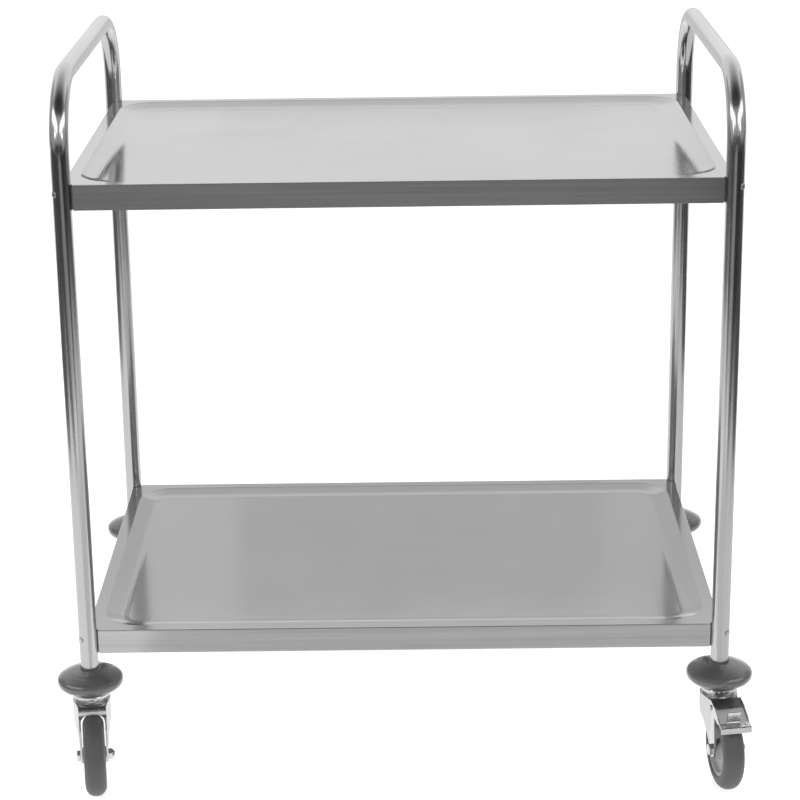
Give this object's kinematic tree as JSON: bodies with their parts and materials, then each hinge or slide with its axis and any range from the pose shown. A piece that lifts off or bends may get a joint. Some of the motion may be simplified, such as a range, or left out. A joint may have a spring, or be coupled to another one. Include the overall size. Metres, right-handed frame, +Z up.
{
  "type": "instrument cart",
  "caption": "Two-tier stainless instrument cart for a veterinary clinic: bent tube end frames with push handles, recessed trays, round bumpers and swivel castors with wheel brakes",
  "frame": {"origin": "on the floor under the middle of the cart, at the middle of the bounding box's base", "axes": "+Z up, +X along the long side toward the braked end, -Y toward the front long side; the castors stand with the front pair trailing toward -Y and the back pair toward +Y"},
  "size_m": [0.85, 0.6788, 0.881],
  "materials": {
    "tube_steel": "fine satin, half polished, along the tube",
    "sheet_steel": "satin, grain along the long side",
    "liner_plastic": "matt, moulded",
    "fixing_steel": "polished heads",
    "bumper_plastic": "smooth, half gloss",
    "plug_plastic": "matt",
    "zinc_steel": "bright zinc plate",
    "axle_steel": "bright zinc plate",
    "tyre_rubber": "smooth dark grey rubber",
    "hub_plastic": "satin grey",
    "shoe_rubber": "matt"
  },
  "bodies": {
    "frame": {"bumper_back_left": "bumper_plastic", "bumper_back_right": "bumper_plastic", "bumper_front_left": "bumper_plastic", "bumper_front_right": "bumper_plastic", "end_frame_left": "tube_steel", "end_frame_right": "tube_steel", "lower_corner_saddles": "liner_plastic", "lower_tray": "sheet_steel", "lower_tray_bolts": "fixing_steel", "lower_tray_nuts": "fixing_steel", "lower_tray_stiffener": "sheet_steel", "stem_plug_back_left": "plug_plastic", "stem_plug_back_right": "plug_plastic", "stem_plug_front_left": "plug_plastic", "stem_plug_front_right": "plug_plastic", "swivel_head_back_left": "zinc_steel", "swivel_head_back_right": "zinc_steel", "swivel_head_front_left": "zinc_steel", "swivel_head_front_right": "zinc_steel", "upper_corner_saddles": "liner_plastic", "upper_tray": "sheet_steel", "upper_tray_bolts": "fixing_steel", "upper_tray_nuts": "fixing_steel", "upper_tray_stiffener": "sheet_steel"},
    "swivel_bl": {"axle_bolt_back_left": "axle_steel", "axle_nut_back_left": "axle_steel", "castor_fork_back_left": "zinc_steel", "lower_race_back_left": "zinc_steel"},
    "swivel_br": {"axle_bolt_back_right": "axle_steel", "axle_nut_back_right": "axle_steel", "brake_pin_back_right": "axle_steel", "castor_fork_back_right": "zinc_steel", "lower_race_back_right": "zinc_steel"},
    "swivel_fl": {"axle_bolt_front_left": "axle_steel", "axle_nut_front_left": "axle_steel", "castor_fork_front_left": "zinc_steel", "lower_race_front_left": "zinc_steel"},
    "swivel_fr": {"axle_bolt_front_right": "axle_steel", "axle_nut_front_right": "axle_steel", "brake_pin_front_right": "axle_steel", "castor_fork_front_right": "zinc_steel", "lower_race_front_right": "zinc_steel"},
    "brake_br": {"brake_pedal_back_right": "zinc_steel", "brake_shoe_back_right": "shoe_rubber"},
    "brake_fr": {"brake_pedal_front_right": "zinc_steel", "brake_shoe_front_right": "shoe_rubber"},
    "wheel_bl": {"tyre_back_left": "tyre_rubber", "wheel_hub_back_left": "hub_plastic"},
    "wheel_br": {"tyre_back_right": "tyre_rubber", "wheel_hub_back_right": "hub_plastic"},
    "wheel_fl": {"tyre_front_left": "tyre_rubber", "wheel_hub_front_left": "hub_plastic"},
    "wheel_fr": {"tyre_front_right": "tyre_rubber", "wheel_hub_front_right": "hub_plastic"}
  },
  "joints": [
    {"name": "castor_swivel_fl", "type": "hinge", "parent": "frame", "child": "swivel_fl", "pos_m": [-0.385, -0.255, 0.111], "axis": [0, 0, 1], "continuous": true},
    {"name": "wheel_spin_fl", "type": "hinge", "parent": "swivel_fl", "child": "wheel_fl", "pos_m": [-0.38013, -0.28966, 0.05], "axis": [0.9903, 0.1392, 0], "continuous": true},
    {"name": "castor_swivel_fr", "type": "hinge", "parent": "frame", "child": "swivel_fr", "pos_m": [0.385, -0.255, 0.111], "axis": [0, 0, 1], "continuous": true},
    {"name": "wheel_spin_fr", "type": "hinge", "parent": "swivel_fr", "child": "wheel_fr", "pos_m": [0.39048, -0.28957, 0.05], "axis": [0.9877, 0.1564, 0], "continuous": true},
    {"name": "brake_press_fr", "type": "hinge", "parent": "swivel_fr", "child": "brake_fr", "pos_m": [0.39016, -0.28759, 0.105], "axis": [0.9877, 0.1564, 0], "range_deg": [0, 7.5]},
    {"name": "castor_swivel_bl", "type": "hinge", "parent": "frame", "child": "swivel_bl", "pos_m": [-0.385, 0.255, 0.111], "axis": [0, 0, 1], "continuous": true},
    {"name": "wheel_spin_bl", "type": "hinge", "parent": "swivel_bl", "child": "wheel_bl", "pos_m": [-0.39048, 0.28957, 0.05], "axis": [-0.9877, -0.1564, 0], "continuous": true},
    {"name": "castor_swivel_br", "type": "hinge", "parent": "frame", "child": "swivel_br", "pos_m": [0.385, 0.255, 0.111], "axis": [0, 0, 1], "continuous": true},
    {"name": "wheel_spin_br", "type": "hinge", "parent": "swivel_br", "child": "wheel_br", "pos_m": [0.38013, 0.28966, 0.05], "axis": [-0.9903, -0.1392, 0], "continuous": true},
    {"name": "brake_press_br", "type": "hinge", "parent": "swivel_br", "child": "brake_br", "pos_m": [0.38041, 0.28768, 0.105], "axis": [-0.9903, -0.1392, 0], "range_deg": [0, 7.5]}
  ]
}
